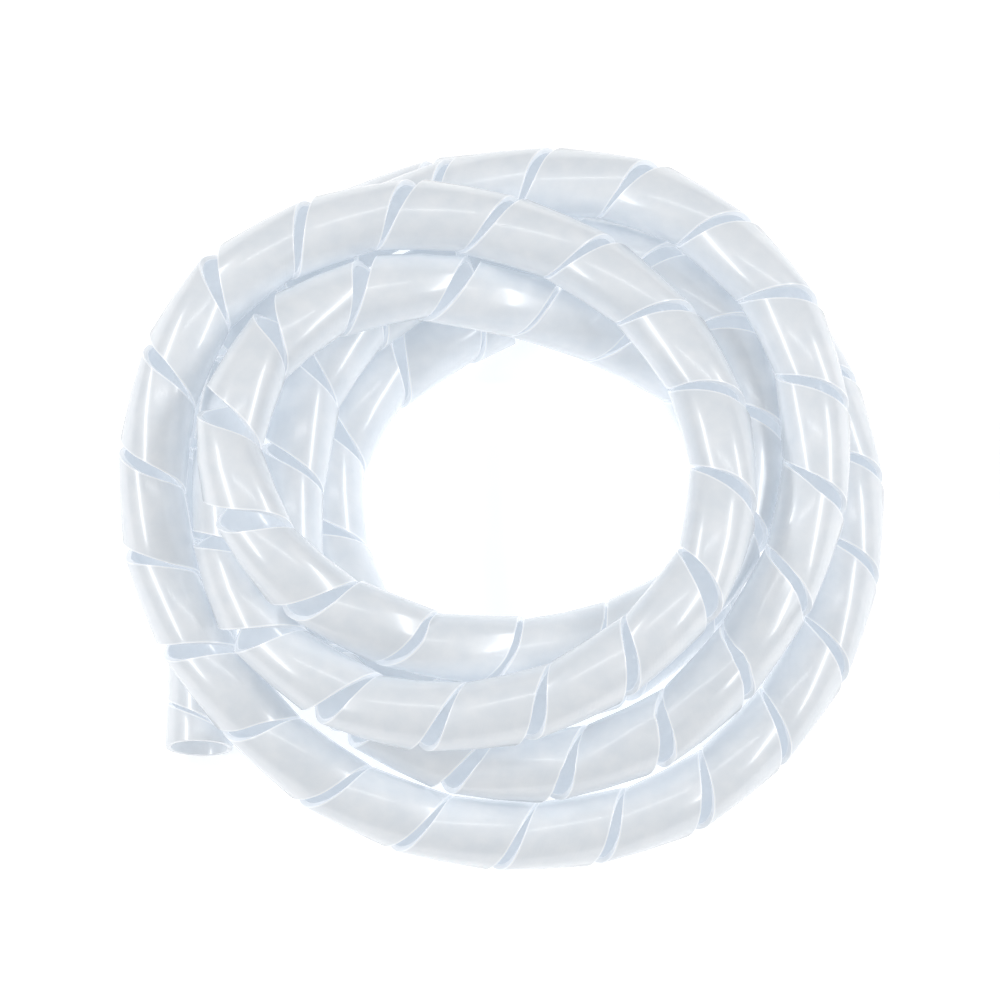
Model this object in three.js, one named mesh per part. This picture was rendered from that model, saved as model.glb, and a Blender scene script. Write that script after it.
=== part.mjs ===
// Spiral cable wrap: one helical strip of natural polyethylene, wound into a tube
// and sold as a loose coil. Millimetres, +Z up, the coil lying flat on z = 0 with
// its free end pointing along -Y.

import * as THREE from 'three';

// Tube and strip
const tubeDiameter = 12;
const wallThickness = 1;
const stripWidth = 15.2;
// Gap between neighbouring edges of the strip on the inside of a bend
const edgeGap = 0.4;
// How far each wind of the strip gives way to the bend: 0 stays straight, 1 follows it
const windBend = 0.4;

// Coil
const coilOpeningRadius = 22;
// Room kept between two turns that lie on each other
const turnClearance = 0.8;

// How the coil settles under its own weight, worked out in small passes
const settlingPasses = 400;
const closingPasses = 60;
const layerRise = 0.45;
const leastRise = 0.4;
const sidewaysShare = 0.15;
const sinking = 0.01;
const returning = 0.06;
const stiffness = 0.2;
const stiffReach = 4;

// Facets and steps
const facetsPerWind = 12;
const stepsPerStation = 10;
const stationsPerTurn = 12;

// Each turn is followed clockwise from -X, seen from above, and has twelve stations.
// lanes: how far the middle of the tube lies outside the opening, in tube diameters.
// layers: which turn lies on which where two of them cross, the higher on the lower.
const turns = [
  {
    lanes: [2.95, 2.93, 2.82, 2.82, 2.78, 3.0, 3.2, 3.37, 3.45, 3.29, 3.23, 3.17],
    layers: [0, 0, 0, 0, 0, 0, 0, 0, 0, 0, 0.5, 2],
  },
  {
    lanes: [3.13, 2.94, 2.2, 1.56, 1.27, 1.2, 1.3, 1.5, 1.6, 1.88, 2.3, 2.5],
    layers: [3, 5, 5, 5, 5, 5, 5, 5, 5, 5, 3, 3],
  },
  {
    lanes: [2.17, 2.25, 2.28, 2.35, 2.71, 2.75, 2.58, 2.47, 2.56, 2.5, 2.2, 1.7],
    layers: [3, 3, 3, 3, 3, 3, 3, 3, 3, 2.5, 2.5, 2.5],
  },
  {
    lanes: [1.3, 1.3, 1.3, 1.55, 1.95, 2.05, 1.74, 1.51, 1.08, 0.98, 1.24, 1.85],
    layers: [2, 2, 2, 2, 2, 2, 2, 2, 3, 4, 4, 4],
  },
  {
    lanes: [2.18, 1.9, 1.26, 0.78, 0.88, 1.36, 1.5, 1.45, 1.3, 1.25, 1.3, 0.95],
    layers: [4, 4, 4, 4, 1, 1, 1, 1, 1, 1, 1, 1],
  },
  {
    lanes: [0.87, 0.85, 0.9],
    layers: [1, 1, 1],
  },
];
// The free end runs straight out of the first turn, this far before its first station
const freeEndSide = 53;
const freeEndReach = 46.5;
// The inner end stops here, under the turns above it
const innerEndX = -2.5;
const innerEndY = 37;

const tubeRadius = tubeDiameter / 2;
const boreRadius = tubeRadius - wallThickness;

function stationAngle(station) {
  return Math.PI - (station / stationsPerTurn) * 2 * Math.PI;
}

function planPoint(station, lane) {
  const radius = coilOpeningRadius + lane * tubeDiameter;
  const angle = stationAngle(station);
  return new THREE.Vector3(radius * Math.cos(angle), radius * Math.sin(angle), 0);
}

// The middle of the tube seen from above, with the layer of every point in z.
function planRoute() {
  const stations = [];
  turns.forEach((turn, index) => {
    turn.lanes.forEach((lane, place) => {
      const point = planPoint(index * stationsPerTurn + place, lane);
      point.z = turn.layers[place];
      stations.push(point);
    });
  });
  const mouth = new THREE.Vector3(-freeEndSide, -freeEndReach, 0);
  const leadIn = new THREE.Vector3(-freeEndSide, -freeEndReach / 2, 0);
  const innerEnd = new THREE.Vector3(innerEndX, innerEndY, stations[stations.length - 1].z);
  const ends = [mouth, leadIn, ...stations, innerEnd];
  const curve = new THREE.CatmullRomCurve3(ends, false, 'centripetal');
  return curve.getSpacedPoints((ends.length - 1) * stepsPerStation);
}

// Pushes apart what lies closer than the tube allows, the higher layer mostly upwards.
function contactPushes(points, layers, contact, nearby) {
  const pushes = points.map(() => new THREE.Vector3());
  const counts = points.map(() => 1);
  const apart = new THREE.Vector3();
  for (let lower = 0; lower < points.length; lower += 1) {
    for (let upper = lower + nearby; upper < points.length; upper += 1) {
      apart.subVectors(points[lower], points[upper]);
      const order = Math.sign(layers[lower] - layers[upper]);
      const crossed = order !== 0 && order * apart.z < 0;
      const missing = crossed ? contact : contact - apart.length();
      if (missing <= 0 || Math.hypot(apart.x, apart.y) >= contact) continue;
      if (order !== 0) {
        apart.x *= sidewaysShare;
        apart.y *= sidewaysShare;
        apart.z = order * Math.max(order * apart.z, leastRise * tubeDiameter);
      }
      apart.setLength(missing / 2);
      pushes[lower].add(apart);
      pushes[upper].sub(apart);
      counts[lower] += 1;
      counts[upper] += 1;
    }
  }
  return pushes.map((push, index) => push.multiplyScalar(2 / counts[index]));
}

// Lets the coil settle on the floor and on itself, as a stiff springy tube does.
function settledPoints(plan) {
  const contact = tubeDiameter + turnClearance;
  const step = plan[0].distanceTo(plan[1]);
  const nearby = Math.ceil(3 * tubeDiameter / step);
  const last = plan.length - 1;
  const layers = plan.map((point) => point.z);
  const rest = plan.map((point) => new THREE.Vector3(point.x, point.y, tubeRadius));
  const moved = layers.map((layer) => new THREE.Vector3(0, 0, layer * layerRise * tubeDiameter));
  for (let pass = 0; pass < settlingPasses; pass += 1) {
    const points = rest.map((point, index) => point.clone().add(moved[index]));
    const pushes = contactPushes(points, layers, contact, nearby);
    const before = moved.map((offset) => offset.clone());
    moved.forEach((offset, index) => {
      const from = before[Math.max(0, index - stiffReach)];
      const to = before[Math.min(last, index + stiffReach)];
      const between = from.clone().add(to).multiplyScalar(0.5);
      offset.lerp(between, stiffness).add(pushes[index]);
      if (pass < settlingPasses - closingPasses) {
        offset.z -= sinking * tubeDiameter;
        offset.x *= 1 - returning;
        offset.y *= 1 - returning;
      }
      offset.z = Math.max(0, offset.z);
    });
  }
  return rest.map((point, index) => point.clone().add(moved[index]));
}

function tubeRoute() {
  return new THREE.CatmullRomCurve3(settledPoints(planRoute()), false, 'centripetal');
}

// Even steps along the route, with the frame and the bend at each.
function routeSamples(route) {
  const length = route.getLength();
  const count = Math.round(length);
  route.arcLengthDivisions = 4 * count;
  route.updateArcLengths();
  const samples = [];
  for (let index = 0; index <= count; index += 1) {
    const point = route.getPointAt(index / count);
    const tangent = route.getTangentAt(index / count);
    const side = new THREE.Vector3(tangent.y, -tangent.x, 0).normalize();
    const top = new THREE.Vector3().crossVectors(side, tangent);
    samples.push({ point, tangent, side, top });
  }
  const step = length / count;
  const window = Math.round(stripWidth / 2 / step);
  samples.forEach((sample, index) => {
    const before = samples[Math.max(0, index - window)];
    const after = samples[Math.min(count, index + window)];
    const turned = before.tangent.angleTo(after.tangent);
    sample.bend = turned / (before.point.distanceTo(after.point) || step);
  });
  return { samples, step, length };
}

function sampleAt({ samples, step }, distance) {
  const place = THREE.MathUtils.clamp(distance / step, 0, samples.length - 1.001);
  const index = Math.floor(place);
  const share = place - index;
  const [from, to] = [samples[index], samples[index + 1]];
  const beyond = distance - place * step;
  const mix = (name) => from[name].clone().lerp(to[name], share);
  const tangent = mix('tangent').normalize();
  return {
    point: mix('point').addScaledVector(tangent, beyond),
    tangent,
    side: mix('side').normalize(),
    top: mix('top').normalize(),
    bend: from.bend + (to.bend - from.bend) * share,
  };
}

// The strip's stations along its helix: where each one sits on the route, and how far
// its cross line reaches to both sides before the tube's square-cut ends.
function stripStations(route) {
  const half = stripWidth / 2;
  const sliver = 0.4;
  const stations = [];
  let distance = sliver - half;
  let facet = 0;
  while (distance < route.length + half - sliver) {
    const sample = sampleAt(route, distance);
    const low = Math.max(-half, -distance);
    const high = Math.min(half, route.length - distance);
    const angle = (facet + 0.5) * 2 * Math.PI / facetsPerWind;
    stations.push({ sample, distance, low, high, angle });
    const tightness = sample.bend * tubeRadius;
    const pitch = (stripWidth * (1 - windBend * tightness) + edgeGap) / (1 - tightness);
    distance += pitch / facetsPerWind;
    facet += 1;
  }
  return stations;
}

// A point at a radius and an angle round the tube, at one sample of its route.
function aroundTube({ point, side, top }, angle, radius) {
  return point.clone()
    .addScaledVector(side, radius * Math.cos(angle))
    .addScaledVector(top, radius * Math.sin(angle));
}

function stripGeometry(route, stations) {
  const positions = [];
  stations.forEach(({ sample, distance, low, high, angle }) => {
    const corner = (radius, along) => {
      const place = aroundTube(sample, angle, radius).addScaledVector(sample.tangent, along);
      const bent = aroundTube(sampleAt(route, distance + along), angle, radius);
      positions.push(...place.lerp(bent, windBend).toArray());
    };
    corner(tubeRadius, low);
    corner(tubeRadius, high);
    corner(boreRadius, high);
    corner(boreRadius, low);
  });
  const faces = [];
  const quad = (a, b, c, d) => faces.push(a, b, c, a, c, d);
  for (let index = 0; index + 1 < stations.length; index += 1) {
    const here = 4 * index;
    const next = here + 4;
    for (let corner = 0; corner < 4; corner += 1) {
      const following = (corner + 1) % 4;
      quad(here + corner, here + following, next + following, next + corner);
    }
  }
  const last = 4 * (stations.length - 1);
  quad(3, 2, 1, 0);
  quad(last, last + 1, last + 2, last + 3);
  const geometry = new THREE.BufferGeometry();
  geometry.setAttribute('position', new THREE.Float32BufferAttribute(positions, 3));
  geometry.setIndex(faces);
  return geometry;
}

// Stands the coil on z = 0 with the middle of its outline on the Z axis.
function centreOnFloor(geometry) {
  geometry.computeBoundingBox();
  const middle = geometry.boundingBox.getCenter(new THREE.Vector3());
  geometry.translate(-middle.x, -middle.y, -geometry.boundingBox.min.z);
  geometry.computeVertexNormals();
  return geometry;
}

const naturalPolyethylene = new THREE.MeshStandardMaterial({
  color: 0xe4ebee,
  roughness: 0.35,
  metalness: 0,
});

const route = routeSamples(tubeRoute());
const strip = new THREE.Mesh(
  centreOnFloor(stripGeometry(route, stripStations(route))),
  naturalPolyethylene,
);
strip.name = 'spiral_wrap_strip';

const spiralWrap = new THREE.Group();
spiralWrap.add(strip);

export default spiralWrap;
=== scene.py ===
"""Looks for a coil of spiral cable wrap: one milky polyethylene strip wound into a tube."""

import math

import bpy
import numpy as np
from bpy.props import FloatProperty, FloatVectorProperty, IntProperty, PointerProperty
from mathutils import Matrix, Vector


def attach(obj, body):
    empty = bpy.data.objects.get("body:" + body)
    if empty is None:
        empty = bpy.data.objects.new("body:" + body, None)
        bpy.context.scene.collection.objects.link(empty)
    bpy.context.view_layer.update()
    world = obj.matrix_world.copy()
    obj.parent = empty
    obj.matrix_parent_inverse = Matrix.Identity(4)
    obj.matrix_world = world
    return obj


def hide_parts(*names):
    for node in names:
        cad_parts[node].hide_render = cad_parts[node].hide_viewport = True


bl_info = {
    "name": "Spiral cable wrap",
    "version": (1, 0, 0),
    "blender": (4, 5, 0),
    "location": "View3D > Sidebar > Spiral wrap",
    "description": "Dresses the packed coil of spiral cable wrap and lights it",
    "category": "Object",
}

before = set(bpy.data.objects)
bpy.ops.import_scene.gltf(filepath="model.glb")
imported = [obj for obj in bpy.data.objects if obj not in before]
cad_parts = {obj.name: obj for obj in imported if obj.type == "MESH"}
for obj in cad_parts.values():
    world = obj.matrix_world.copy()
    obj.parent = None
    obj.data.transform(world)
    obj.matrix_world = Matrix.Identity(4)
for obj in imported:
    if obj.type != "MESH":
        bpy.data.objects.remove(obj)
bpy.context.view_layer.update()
STRIP_NODE = "spiral_wrap_strip"

# The route is worked out in millimetres, as in the part's source, and the rest is in metres
MM = 0.001

# The coil's plan, in tube diameters, as the part's source gives it. Each turn is followed
# clockwise from -X, seen from above, and has twelve stations.
# lanes: how far the middle of the tube lies outside the opening.
# layers: which turn lies on which where two of them cross, the higher on the lower.
TURNS = [
    {
        "lanes": [2.95, 2.93, 2.82, 2.82, 2.78, 3.0, 3.2, 3.37, 3.45, 3.29, 3.23, 3.17],
        "layers": [0, 0, 0, 0, 0, 0, 0, 0, 0, 0, 0.5, 2],
    },
    {
        "lanes": [3.13, 2.94, 2.2, 1.56, 1.27, 1.2, 1.3, 1.5, 1.6, 1.88, 2.3, 2.5],
        "layers": [3, 5, 5, 5, 5, 5, 5, 5, 5, 5, 3, 3],
    },
    {
        "lanes": [2.17, 2.25, 2.28, 2.35, 2.71, 2.75, 2.58, 2.47, 2.56, 2.5, 2.2, 1.7],
        "layers": [3, 3, 3, 3, 3, 3, 3, 3, 3, 2.5, 2.5, 2.5],
    },
    {
        "lanes": [1.3, 1.3, 1.3, 1.55, 1.95, 2.05, 1.74, 1.51, 1.08, 0.98, 1.24, 1.85],
        "layers": [2, 2, 2, 2, 2, 2, 2, 2, 3, 4, 4, 4],
    },
    {
        "lanes": [2.18, 1.9, 1.26, 0.78, 0.88, 1.36, 1.5, 1.45, 1.3, 1.25, 1.3, 0.95],
        "layers": [4, 4, 4, 4, 1, 1, 1, 1, 1, 1, 1, 1],
    },
    {
        "lanes": [0.87, 0.85, 0.9],
        "layers": [1, 1, 1],
    },
]
STATIONS_PER_TURN = 12
STEPS_PER_STATION = 10
# The free end runs straight out of the first turn, this far before its first station, in mm
FREE_END_SIDE = 53
FREE_END_REACH = 46.5
# The inner end stops here, under the turns above it, in mm
INNER_END_X = -2.5
INNER_END_Y = 37

# Steps in which a curve's length is measured, and those for each step of the finished route
CURVE_DIVISIONS = 200
DIVISIONS_PER_STEP = 4
# The route's direction is taken this far to both sides, as a share of its length
TANGENT_REACH = 1e-4

# How the coil settles under its own weight, worked out in small passes
SETTLING_PASSES = 400
CLOSING_PASSES = 60
# Room kept between two turns that lie on each other, in mm
TURN_CLEARANCE = 0.8
# In tube diameters: a layer's height at the start, and the least that crossing turns push up
LAYER_RISE = 0.45
LEAST_RISE = 0.4
# Points nearer than this along the tube don't push each other, in tube diameters
NEIGHBOUR_REACH = 3
# Points further apart than this in the plan are never compared, in tube diameters
PUSH_REACH = 3
SIDEWAYS_SHARE = 0.15
SINKING = 0.01
RETURNING = 0.06
STIFFNESS = 0.2
STIFF_REACH = 4

# The strip starts and stops where it is about this wide, in mm, and not at a point
SLIVER = 0.4
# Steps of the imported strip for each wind, which give the coil its place on the floor
CAD_FACETS_PER_WIND = 12
# A rounded edge's middle point lies in from the square corner by this share of its radius
EDGE_MIDDLE = 0.3
# The most of the strip's width that one rounded edge takes
EDGE_SHARE = 0.25
SMOOTH_ANGLE = math.radians(32)

# Width of the painted highlight, a pale band along each cut edge of the strip, in mm
EDGE_HIGHLIGHT_WIDTH = 0.4
# How far the roughness goes down in the clear places and up in the clouds
GLOSSIER = 0.06
DULLER = 0.08

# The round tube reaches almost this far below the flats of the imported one
FLOOR_DROP = 0.0002
FLOOR_SIZE = 6
# Name, place, length and width of each softbox, and its power in watts
SOFTBOXES = (
    ("left_softbox", (-0.57, 0, 0.54), (0.7, 0.05), 2.2),
    ("right_softbox", (0.57, 0, 0.54), (0.7, 0.05), 2.2),
    ("top_softbox", (0, 0.14, 0.85), (0.7, 0.03), 0.6),
)
# The camera aims this far beside the point that the turns are counted round
AIM_SIDE = -0.0009


def smooth_curve(points, places):
    """Points on the centripetal curve through the given points, at places from 0 to 1."""
    count = len(points)
    ends = np.vstack([2 * points[0] - points[1], points, 2 * points[-1] - points[-2]])
    place = np.clip(places, 0, 1) * (count - 1)
    first = np.minimum(place.astype(int), count - 2)
    weight = (place - first)[:, None]
    before, start, stop, after = (ends[first + shift] for shift in range(4))
    gaps = [
        np.maximum(np.sum((b - a) ** 2, axis=1), 1e-16)[:, None] ** 0.25
        for a, b in ((before, start), (start, stop), (stop, after))
    ]
    slopes = [(start - before) / gaps[0], (stop - start) / gaps[1], (after - stop) / gaps[2]]
    leave = slopes[0] - (stop - before) / (gaps[0] + gaps[1]) + slopes[1]
    arrive = slopes[1] - (after - start) / (gaps[1] + gaps[2]) + slopes[2]
    leave = leave * gaps[1]
    arrive = arrive * gaps[1]
    square = -3 * start + 3 * stop - 2 * leave - arrive
    cube = 2 * start - 2 * stop + leave + arrive
    return start + leave * weight + square * weight**2 + cube * weight**3


def even_places(points, divisions, count):
    """Where count + 1 evenly spaced points lie on the curve, and the curve's length."""
    marks = np.linspace(0, 1, divisions + 1)
    steps = np.linalg.norm(np.diff(smooth_curve(points, marks), axis=0), axis=1)
    lengths = np.concatenate([[0], np.cumsum(steps)])
    targets = np.linspace(0, 1, count + 1) * lengths[-1]
    return np.interp(targets, lengths, marks), lengths[-1]


def plan_route(tube_diameter, opening_radius):
    """The middle of the tube seen from above, with the layer of every point in z."""
    stations = [(-FREE_END_SIDE, -FREE_END_REACH, 0), (-FREE_END_SIDE, -FREE_END_REACH / 2, 0)]
    for index, turn in enumerate(TURNS):
        for place, (lane, layer) in enumerate(zip(turn["lanes"], turn["layers"])):
            radius = opening_radius + lane * tube_diameter
            station = index * STATIONS_PER_TURN + place
            angle = math.pi - station / STATIONS_PER_TURN * 2 * math.pi
            stations.append((radius * math.cos(angle), radius * math.sin(angle), layer))
    stations.append((INNER_END_X, INNER_END_Y, TURNS[-1]["layers"][-1]))
    stations = np.array(stations, dtype=float)
    steps = (len(stations) - 1) * STEPS_PER_STATION
    places, _ = even_places(stations, CURVE_DIVISIONS, steps)
    return smooth_curve(stations, places)


def settled_points(plan, tube_diameter):
    """Lets the coil settle on the floor and on itself, as a stiff springy tube does."""
    contact = tube_diameter + TURN_CLEARANCE
    step = np.linalg.norm(plan[1] - plan[0])
    nearby = math.ceil(NEIGHBOUR_REACH * tube_diameter / step)
    layers = plan[:, 2].copy()
    rest = plan.copy()
    rest[:, 2] = tube_diameter / 2
    moved = np.zeros_like(rest)
    moved[:, 2] = layers * LAYER_RISE * tube_diameter
    lower, upper = np.triu_indices(len(plan), nearby)
    flat = np.hypot(*(rest[lower] - rest[upper])[:, :2].T)
    close = flat < PUSH_REACH * tube_diameter
    lower, upper = lower[close], upper[close]
    order = np.sign(layers[lower] - layers[upper])
    least = LEAST_RISE * tube_diameter
    last = len(plan) - 1
    behind = np.maximum(0, np.arange(last + 1) - STIFF_REACH)
    ahead = np.minimum(last, np.arange(last + 1) + STIFF_REACH)
    for done in range(SETTLING_PASSES):
        points = rest + moved
        apart = points[lower] - points[upper]
        crossed = (order != 0) & (order * apart[:, 2] < 0)
        missing = np.where(crossed, contact, contact - np.linalg.norm(apart, axis=1))
        touching = (missing > 0) & (np.hypot(apart[:, 0], apart[:, 1]) < contact)
        apart, missing = apart[touching], missing[touching]
        one, two, way = lower[touching], upper[touching], order[touching]
        ranked = way != 0
        apart[ranked, :2] *= SIDEWAYS_SHARE
        apart[ranked, 2] = way[ranked] * np.maximum(way[ranked] * apart[ranked, 2], least)
        apart *= (missing / 2 / np.linalg.norm(apart, axis=1))[:, None]
        pushes = np.zeros_like(moved)
        np.add.at(pushes, one, apart)
        np.add.at(pushes, two, -apart)
        counts = 1 + np.bincount(one, minlength=last + 1) + np.bincount(two, minlength=last + 1)
        pushes *= (2 / counts)[:, None]
        between = (moved[behind] + moved[ahead]) / 2
        moved = moved + (between - moved) * STIFFNESS + pushes
        if done < SETTLING_PASSES - CLOSING_PASSES:
            moved[:, 2] -= SINKING * tube_diameter
            moved[:, :2] *= 1 - RETURNING
        moved[:, 2] = np.maximum(0, moved[:, 2])
    return rest + moved


def unit(rows):
    return rows / np.linalg.norm(rows, axis=1, keepdims=True)


class Route:
    """The middle of the tube in even steps, with the frame and the bend at each."""

    def __init__(self, sizes):
        diameter = sizes.tube_diameter / MM
        points = settled_points(plan_route(diameter, sizes.opening_radius / MM), diameter)
        _, self.length = even_places(points, CURVE_DIVISIONS, 1)
        self.count = round(self.length)
        places, _ = even_places(points, DIVISIONS_PER_STEP * self.count, self.count)
        self.point = smooth_curve(points, places)
        ahead = smooth_curve(points, places + TANGENT_REACH)
        behind = smooth_curve(points, places - TANGENT_REACH)
        self.tangent = unit(ahead - behind)
        level = np.stack([self.tangent[:, 1], -self.tangent[:, 0], 0 * places], axis=1)
        self.side = unit(level)
        self.top = np.cross(self.side, self.tangent)
        self.step = self.length / self.count
        window = round(sizes.strip_width / MM / 2 / self.step)
        here = np.arange(self.count + 1)
        before = np.maximum(0, here - window)
        after = np.minimum(self.count, here + window)
        cosine = np.sum(self.tangent[before] * self.tangent[after], axis=1)
        reach = np.linalg.norm(self.point[before] - self.point[after], axis=1)
        self.bend = np.arccos(np.clip(cosine, -1, 1)) / reach

    def at(self, distance):
        """Point, tangent, side, top and bend at a distance along the tube."""
        place = min(max(distance / self.step, 0), self.count - 0.001)
        index = int(place)
        share = place - index
        tangent, side, top, point = (
            rows[index] * (1 - share) + rows[index + 1] * share
            for rows in (self.tangent, self.side, self.top, self.point)
        )
        tangent = tangent / np.linalg.norm(tangent)
        point = point + tangent * (distance - place * self.step)
        bend = self.bend[index] * (1 - share) + self.bend[index + 1] * share
        return point, tangent, side / np.linalg.norm(side), top / np.linalg.norm(top), bend


def around_tube(place, angle, radius):
    """Points at the radii and one angle round the tube, at one place of its route."""
    point, _, side, top, _ = place
    return point + np.outer(radius, side * math.cos(angle) + top * math.sin(angle))


def strip_rows(route, sizes, facets, section):
    """Rows of points across the strip, one for each station on its helix, and their UVs."""
    width = sizes.strip_width / MM
    gap = sizes.edge_gap / MM
    tube_radius = sizes.tube_diameter / MM / 2
    half = width / 2
    distance = SLIVER - half
    facet = 0
    rows = []
    marks = []
    while distance < route.length + half - SLIVER:
        place = route.at(distance)
        _, tangent, _, _, bend = place
        low = max(-half, -distance)
        high = min(half, route.length - distance)
        angle = (facet + 0.5) * 2 * math.pi / facets
        along, out = section(low, high)
        straight = around_tube(place, angle, out) + np.outer(along, tangent)
        bent = np.concatenate([
            around_tube(route.at(distance + reach), angle, radius)
            for reach, radius in zip(along, out)
        ])
        rows.append(straight + (bent - straight) * sizes.wind_bend)
        marks.append(np.stack([along, np.full(len(along), facet / facets)], axis=1))
        tightness = bend * tube_radius
        pitch = (width * (1 - sizes.wind_bend * tightness) + gap) / (1 - tightness)
        distance += pitch / facets
        facet += 1
    return np.array(rows), np.array(marks)


def wall_radii(sizes):
    """The tube's outer and inner radius, in millimetres."""
    outer = sizes.tube_diameter / MM / 2
    return outer, outer - sizes.wall_thickness / MM


def plain_section(sizes):
    """The part's own square-edged section, which gives its place on the floor."""
    outer, inner = wall_radii(sizes)

    def section(low, high):
        return np.array([low, high, high, low]), np.array([outer, outer, inner, inner])

    return section


def rounded_section(sizes):
    """The strip's section with its four long edges rounded as the cutter leaves them."""
    outer, inner = wall_radii(sizes)
    soft = sizes.edge_softness / MM

    def section(low, high):
        room = min(soft, (high - low) * EDGE_SHARE)
        slant = room * EDGE_MIDDLE
        along = [low + room, (low + high) / 2, high - room, high - slant, high, high, high - slant]
        out = [outer, outer, outer, outer - slant, outer - room, inner + room, inner + slant]
        along += [high - room, (low + high) / 2, low + room, low + slant, low, low, low + slant]
        out += [inner, inner, inner, inner + slant, inner + room, outer - room, outer - slant]
        return np.array(along), np.array(out)

    return section


def bore_side(sizes, section):
    """Which points of the section lie on the bore's side of the wall."""
    half = sizes.strip_width / MM / 2
    _, out = section(-half, half)
    return out < sum(wall_radii(sizes)) / 2


def deselect_all():
    if bpy.context.object and bpy.context.object.mode != "OBJECT":
        bpy.ops.object.mode_set(mode="OBJECT")
    bpy.ops.object.select_all(action="DESELECT")


def select_only(thing):
    deselect_all()
    thing.select_set(True)
    bpy.context.view_layer.objects.active = thing


def mesh_from_rows(name, rows, marks, in_bore):
    """A closed tube of quads through the rows, capped at both ends.

    marks: the UVs of the points, kept as the map "strip".
    in_bore: which points of a row lie on the bore, kept as the attribute "bore".
    """
    stations, ring = rows.shape[:2]
    faces = []
    for row in range(stations - 1):
        here = row * ring
        ahead = here + ring
        for corner in range(ring):
            following = (corner + 1) % ring
            faces.append((here + corner, here + following, ahead + following, ahead + corner))
    faces.append(tuple(range(ring))[::-1])
    faces.append(tuple((stations - 1) * ring + corner for corner in range(ring)))
    mesh = bpy.data.meshes.new(name)
    mesh.from_pydata((rows.reshape(-1, 3) * MM).tolist(), [], faces)
    layer = mesh.uv_layers.new(name="strip")
    flat_marks = marks.reshape(-1, 2)
    corners = np.empty(len(mesh.loops), dtype=np.int32)
    mesh.loops.foreach_get("vertex_index", corners)
    layer.data.foreach_set("uv", flat_marks[corners].astype(np.float32).ravel())
    bore = mesh.attributes.new(name="bore", type="FLOAT", domain="POINT")
    bore.data.foreach_set("value", np.tile(in_bore, stations).astype(np.float32))
    mesh.validate()
    return mesh


class WrapSizes(bpy.types.PropertyGroup):
    """Sizes of the strip and of the tube that it forms."""

    tube_diameter: FloatProperty(
        name="Tube diameter", description="Outside diameter of the wound strip",
        default=0.012, min=0.002, unit="LENGTH",
    )
    wall_thickness: FloatProperty(
        name="Wall thickness", description="Thickness of the strip",
        default=0.001, min=0.0002, unit="LENGTH",
    )
    strip_width: FloatProperty(
        name="Strip width", description="Width of the strip, measured along the tube",
        default=0.0152, min=0.002, unit="LENGTH",
    )
    edge_gap: FloatProperty(
        name="Edge gap", description="Gap between neighbouring edges on the inside of a bend",
        default=0.0004, min=0.0, unit="LENGTH",
    )
    wind_bend: FloatProperty(
        name="Wind bend", description="How far each wind gives way to a bend: 0 straight, 1 fully",
        default=0.4, min=0.0, max=1.0, subtype="FACTOR",
    )
    opening_radius: FloatProperty(
        name="Opening radius", description="Radius that the lanes of the coil are counted from",
        default=0.022, min=0.005, unit="LENGTH",
    )
    edge_softness: FloatProperty(
        name="Edge softness", description="Rounding of the strip's cut edges",
        default=0.00016, min=0.0, unit="LENGTH",
    )
    facets_per_wind: IntProperty(
        name="Facets per wind", description="Steps round the tube for each wind of the strip",
        default=56, min=12,
    )


class WrapFinish(bpy.types.PropertyGroup):
    """Colours and gloss of the milky plastic, and the colours of its painted glow."""

    body_colour: FloatVectorProperty(
        name="Body colour", description="Colour of the milky plastic",
        subtype="COLOR", size=3, min=0, max=1, default=(0.7, 0.74, 0.785),
    )
    haze_colour: FloatVectorProperty(
        name="Haze colour", description="Colour of the paler clouds in the plastic",
        subtype="COLOR", size=3, min=0, max=1, default=(0.775, 0.8, 0.83),
    )
    roughness: FloatProperty(
        name="Roughness", description="Roughness of the extruded surface",
        default=0.36, min=0, max=1, subtype="FACTOR",
    )
    # Painted glow: emission that stands in for the light scattered through the milky wall
    painted_glow_strength: FloatProperty(
        name="Inner glow", description="Light that the milky wall scatters back out of the coil",
        default=0.36, min=0, max=1, subtype="FACTOR",
    )
    # Painted glow on the outside of the tube
    painted_wall_glow_colour: FloatVectorProperty(
        name="Wall glow", description="Colour of the scattered light on the outside of the tube",
        subtype="COLOR", size=3, min=0, max=1, default=(0.42, 0.455, 0.49),
    )
    # Painted glow in the bore, which lifts the shade inside the tube
    painted_bore_glow_colour: FloatVectorProperty(
        name="Bore glow", description="Colour of the scattered light inside the tube",
        subtype="COLOR", size=3, min=0, max=1, default=(0.52, 0.55, 0.58),
    )
    # Painted highlight along the cut edges, given as glow
    painted_edge_highlight_colour: FloatVectorProperty(
        name="Edge glow", description="Colour of the scattered light along the cut edges",
        subtype="COLOR", size=3, min=0, max=1, default=(0.97, 0.98, 1),
    )


class StageSettings(bpy.types.PropertyGroup):
    """Floor, lights and camera."""

    floor_colour: FloatVectorProperty(
        name="Floor colour", description="Colour of the floor",
        subtype="COLOR", size=3, min=0, max=1, default=(0.96, 0.96, 0.96),
    )
    floor_glow: FloatProperty(
        name="Floor glow", description="Light that comes through the floor, as on a light table",
        default=0.37, min=0, max=4,
    )
    room_light: FloatProperty(
        name="Room light", description="Strength of the even light from all sides",
        default=0.3, min=0, max=4,
    )
    camera_elevation: FloatProperty(
        name="Camera elevation", description="Height of the camera's view above level",
        default=math.radians(75), subtype="ANGLE",
    )
    camera_distance: FloatProperty(
        name="Camera distance", description="Distance from the camera to the coil",
        default=2.0, min=0.2, unit="LENGTH",
    )
    view_width: FloatProperty(
        name="View width", description="Width of the picture at the coil",
        default=0.1765, min=0.02, unit="LENGTH",
    )


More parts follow.
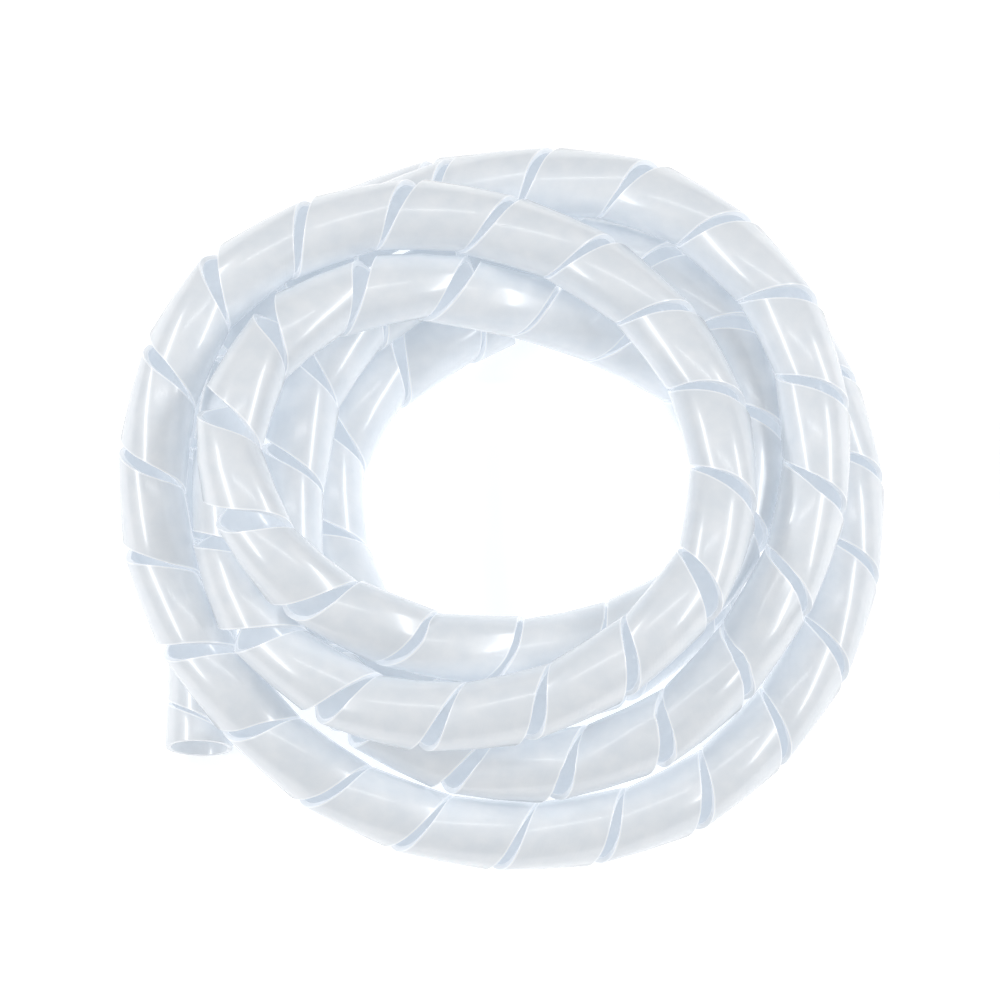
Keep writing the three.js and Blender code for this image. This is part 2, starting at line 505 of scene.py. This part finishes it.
def add_clouds(tree, finish):
    """Where the plastic has its paler clouds, and its colour there and between them."""
    place = tree.nodes.new("ShaderNodeTexCoord")
    clouds = tree.nodes.new("ShaderNodeTexNoise")
    clouds.inputs["Scale"].default_value = 260.0
    clouds.inputs["Detail"].default_value = 4.0
    tree.links.new(place.outputs["Object"], clouds.inputs["Vector"])
    colours = tree.nodes.new("ShaderNodeValToRGB")
    colours.color_ramp.elements[0].position = 0.35
    colours.color_ramp.elements[0].color = (*finish.body_colour, 1)
    colours.color_ramp.elements[1].position = 0.7
    colours.color_ramp.elements[1].color = (*finish.haze_colour, 1)
    tree.links.new(clouds.outputs["Fac"], colours.inputs["Fac"])
    return clouds.outputs["Fac"], colours.outputs["Color"]


def add_extrusion_lines(tree, strip_place):
    """The surface's normal, with faint lines along the strip."""
    stretch = tree.nodes.new("ShaderNodeMapping")
    stretch.inputs["Scale"].default_value = (2.2, 0.35, 1.0)
    tree.links.new(strip_place, stretch.inputs["Vector"])
    lines = tree.nodes.new("ShaderNodeTexNoise")
    lines.inputs["Scale"].default_value = 1.0
    lines.inputs["Detail"].default_value = 4.0
    tree.links.new(stretch.outputs["Vector"], lines.inputs["Vector"])
    bump = tree.nodes.new("ShaderNodeBump")
    bump.inputs["Strength"].default_value = 0.25
    bump.inputs["Distance"].default_value = 0.00006
    tree.links.new(lines.outputs["Fac"], bump.inputs["Height"])
    return bump.outputs["Normal"]


def add_painted_wall_glow(tree, finish):
    """Colour of the painted glow that stands in for light scattered by the wall, paler in the bore
    to lift its shade.
    """
    bore = tree.nodes.new("ShaderNodeAttribute")
    bore.attribute_name = "bore"
    glow = tree.nodes.new("ShaderNodeMix")
    glow.data_type = "RGBA"
    glow.inputs["A"].default_value = (*finish.painted_wall_glow_colour, 1)
    glow.inputs["B"].default_value = (*finish.painted_bore_glow_colour, 1)
    tree.links.new(bore.outputs["Fac"], glow.inputs["Factor"])
    return glow.outputs["Result"]


def add_edge_highlight_mask(tree, strip_place, half_width):
    """Mask of the painted highlight: white just inside the strip's cut edges, dark grey on them
    and black elsewhere.
    """
    across = tree.nodes.new("ShaderNodeSeparateXYZ")
    tree.links.new(strip_place, across.inputs["Vector"])
    reach = tree.nodes.new("ShaderNodeMath")
    reach.operation = "ABSOLUTE"
    tree.links.new(across.outputs["X"], reach.inputs[0])
    edge = tree.nodes.new("ShaderNodeMapRange")
    edge.inputs["From Min"].default_value = half_width - EDGE_HIGHLIGHT_WIDTH
    edge.inputs["From Max"].default_value = half_width
    tree.links.new(reach.outputs["Value"], edge.inputs["Value"])
    rim = tree.nodes.new("ShaderNodeValToRGB")
    rim.color_ramp.elements[0].color = (0, 0, 0, 1)
    rim.color_ramp.elements[1].color = (0.25, 0.25, 0.25, 1)
    brightest = rim.color_ramp.elements.new(0.75)
    brightest.color = (1, 1, 1, 1)
    tree.links.new(edge.outputs["Result"], rim.inputs["Fac"])
    return rim.outputs["Color"]


def build_plastic(finish, half_width):
    """Milky polyethylene: pale clouds, faint extrusion lines along the strip, satin gloss, and a
    painted glow with painted highlights along the cut edges.
    """
    material = bpy.data.materials.new("milky_polyethylene")
    material.use_nodes = True
    # The painted glow isn't sampled as a lamp, which keeps the render short
    material.cycles.emission_sampling = "NONE"
    tree = material.node_tree
    shader = tree.nodes["Principled BSDF"]
    shader.inputs["Metallic"].default_value = 0.0
    shader.inputs["IOR"].default_value = 1.5
    shader.inputs["Specular IOR Level"].default_value = 0.9
    shader.inputs["Coat Weight"].default_value = 1.0
    shader.inputs["Coat Roughness"].default_value = 0.18
    # Strength of the painted glow
    shader.inputs["Emission Strength"].default_value = finish.painted_glow_strength

    clouds, cloud_colour = add_clouds(tree, finish)
    tree.links.new(cloud_colour, shader.inputs["Base Color"])
    gloss = tree.nodes.new("ShaderNodeMapRange")
    gloss.inputs["To Min"].default_value = finish.roughness - GLOSSIER
    gloss.inputs["To Max"].default_value = finish.roughness + DULLER
    tree.links.new(clouds, gloss.inputs["Value"])
    tree.links.new(gloss.outputs["Result"], shader.inputs["Roughness"])

    strip_map = tree.nodes.new("ShaderNodeUVMap")
    strip_map.uv_map = "strip"
    strip_place = strip_map.outputs["UV"]
    tree.links.new(add_extrusion_lines(tree, strip_place), shader.inputs["Normal"])

    # Painted glow: emission standing in for light scattered by the wall and lifting the shade in
    # the bore, with a painted highlight along the cut edges
    glow = tree.nodes.new("ShaderNodeMix")
    glow.data_type = "RGBA"
    glow.inputs["B"].default_value = (*finish.painted_edge_highlight_colour, 1)
    tree.links.new(add_edge_highlight_mask(tree, strip_place, half_width), glow.inputs["Factor"])
    tree.links.new(add_painted_wall_glow(tree, finish), glow.inputs["A"])
    tree.links.new(glow.outputs["Result"], shader.inputs["Emission Color"])
    return material


def floor_shift(rows):
    """How far the rows move to stand on the floor, with their outline's middle on the Z axis."""
    lowest = rows.reshape(-1, 3).min(axis=0)
    highest = rows.reshape(-1, 3).max(axis=0)
    return np.array([*(-(lowest + highest) / 2)[:2], -lowest[2]])


class OBJECT_OT_wind_strip(bpy.types.Operator):
    """Winds the strip along the coil's route, with rounded edges and its milky finish"""

    bl_idname = "object.wind_strip"
    bl_label = "Wind the strip"

    def execute(self, context):
        sizes = context.scene.wrap_sizes
        route = Route(sizes)
        cad_rows, _ = strip_rows(route, sizes, CAD_FACETS_PER_WIND, plain_section(sizes))
        shift = floor_shift(cad_rows)
        section = rounded_section(sizes)
        rows, marks = strip_rows(route, sizes, sizes.facets_per_wind, section)
        mesh = mesh_from_rows("spiral_strip", rows + shift, marks, bore_side(sizes, section))
        strip = bpy.data.objects.new("spiral_strip", mesh)
        context.scene.collection.objects.link(strip)
        select_only(strip)
        bpy.ops.object.shade_smooth_by_angle(angle=SMOOTH_ANGLE)
        half_width = sizes.strip_width / MM / 2
        strip.data.materials.append(build_plastic(context.scene.wrap_finish, half_width))
        context.scene["coil_shift"] = (shift * MM).tolist()
        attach(strip, "root")
        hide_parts(STRIP_NODE)
        return {"FINISHED"}


def lay_floor(stage):
    """A pale floor under the coil, which glows a little."""
    deselect_all()
    bpy.ops.mesh.primitive_plane_add(size=FLOOR_SIZE, location=(0, 0, -FLOOR_DROP))
    floor = bpy.context.object
    floor.name = "floor"
    paper = bpy.data.materials.new("white_paper")
    paper.use_nodes = True
    shader = paper.node_tree.nodes["Principled BSDF"]
    shader.inputs["Base Color"].default_value = (*stage.floor_colour, 1)
    shader.inputs["Roughness"].default_value = 0.9
    shader.inputs["Emission Color"].default_value = (1, 1, 1, 1)
    shader.inputs["Emission Strength"].default_value = stage.floor_glow
    floor.data.materials.append(paper)


def add_softbox(name, place, size, power):
    """A soft panel of light that points at the middle of the floor."""
    deselect_all()
    bpy.ops.object.light_add(type="AREA", location=place)
    light = bpy.context.object
    light.name = name
    light.data.shape = "RECTANGLE"
    light.data.size, light.data.size_y = size
    light.data.energy = power
    towards = Vector((0, 0, 0)) - Vector(place)
    light.rotation_euler = towards.to_track_quat("-Z", "Y").to_euler()


def light_room(scene):
    """Even light from all sides, and the softboxes."""
    world = bpy.data.worlds.new("soft_room")
    world.use_nodes = True
    background = world.node_tree.nodes["Background"]
    background.inputs["Color"].default_value = (1, 1, 1, 1)
    background.inputs["Strength"].default_value = scene.stage_settings.room_light
    scene.world = world
    scene.view_settings.view_transform = "Standard"
    for name, place, size, power in SOFTBOXES:
        add_softbox(name, place, size, power)


def set_camera(scene):
    """A camera with a long lens that looks down on the coil from the front."""
    stage = scene.stage_settings
    deselect_all()
    bpy.ops.object.camera_add()
    camera = bpy.context.object
    camera.name = "camera"
    camera.data.sensor_width = 36.0
    camera.data.lens = camera.data.sensor_width * stage.camera_distance / stage.view_width
    camera.data.clip_start = 0.1
    camera.data.clip_end = 50.0
    elevation = stage.camera_elevation
    shift = scene["coil_shift"]
    aim = Vector((shift[0] + AIM_SIDE, shift[1], 0))
    away = Vector((0, -math.cos(elevation), math.sin(elevation)))
    camera.location = aim + away * stage.camera_distance
    camera.rotation_euler = (math.pi / 2 - elevation, 0, 0)
    scene.camera = camera


class SCENE_OT_set_stage(bpy.types.Operator):
    """Lays the pale floor and sets the soft lights and the camera"""

    bl_idname = "scene.set_stage"
    bl_label = "Set the stage"

    def execute(self, context):
        lay_floor(context.scene.stage_settings)
        light_room(context.scene)
        set_camera(context.scene)
        return {"FINISHED"}


class VIEW3D_PT_spiral_wrap(bpy.types.Panel):
    bl_label = "Spiral wrap"
    bl_space_type = "VIEW_3D"
    bl_region_type = "UI"
    bl_category = "Spiral wrap"

    def draw(self, context):
        layout = self.layout
        scene = context.scene
        for group in (scene.wrap_sizes, scene.wrap_finish, scene.stage_settings):
            box = layout.box()
            for name in group.bl_rna.properties.keys():
                if name not in ("rna_type", "name"):
                    box.prop(group, name)
        layout.operator("object.wind_strip")
        layout.operator("scene.set_stage")


CLASSES = (
    WrapSizes, WrapFinish, StageSettings,
    OBJECT_OT_wind_strip, SCENE_OT_set_stage, VIEW3D_PT_spiral_wrap,
)


def register():
    for item in CLASSES:
        bpy.utils.register_class(item)
    bpy.types.Scene.wrap_sizes = PointerProperty(type=WrapSizes)
    bpy.types.Scene.wrap_finish = PointerProperty(type=WrapFinish)
    bpy.types.Scene.stage_settings = PointerProperty(type=StageSettings)


def unregister():
    del bpy.types.Scene.stage_settings
    del bpy.types.Scene.wrap_finish
    del bpy.types.Scene.wrap_sizes
    for item in reversed(CLASSES):
        bpy.utils.unregister_class(item)


def main():
    register()
    bpy.ops.object.wind_strip()
    bpy.ops.scene.set_stage()


if __name__ == "__main__":
    main()
